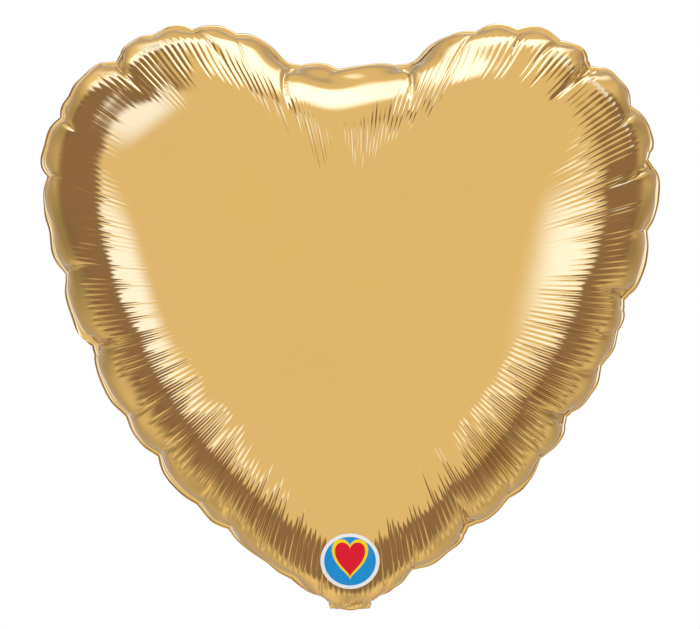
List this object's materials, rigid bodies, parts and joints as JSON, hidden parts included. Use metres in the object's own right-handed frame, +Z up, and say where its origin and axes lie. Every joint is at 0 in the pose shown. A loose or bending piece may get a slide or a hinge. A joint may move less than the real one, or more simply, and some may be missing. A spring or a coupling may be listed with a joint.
{
  "type": "heart-shaped foil balloon",
  "caption": "Inflated heart-shaped foil balloon with a welded rim, a flat film valve in the neck and a tail that folds behind the tip.",
  "frame": {"origin": "middle of the neck, where the seam between the two panels meets the tail at the tip of the heart", "axes": "+Z up from the tip to the cleft, +X to the right seen from the front, front panel faces -Y, seam in the XZ plane"},
  "size_m": [0.3592, 0.196, 0.3426],
  "materials": {
    "gold_foil": "mirror-bright gold metallised film with fine ripples near the rim",
    "valve_film": "clear flexible plastic film",
    "melted_film": "heat-sealed inner plastic layer",
    "print_ink": "opaque print on the film"
  },
  "bodies": {
    "envelope": {"front_panel": "gold_foil", "rear_panel": "gold_foil", "heat_seal_band": "melted_film", "valve_front_film": "valve_film", "valve_rear_film": "valve_film", "printed_mark": "print_ink"},
    "tail": {"tail_front_ply": "gold_foil", "tail_rear_ply": "gold_foil", "tail_seal_left": "melted_film", "tail_seal_right": "melted_film", "tail_valve_front_film": "valve_film", "tail_valve_rear_film": "valve_film"}
  },
  "joints": [
    {"name": "tail_fold", "type": "hinge", "parent": "envelope", "child": "tail", "pos_m": [0, 0, -0.0028], "axis": [1, 0, 0], "range_deg": [-200, 20]}
  ]
}
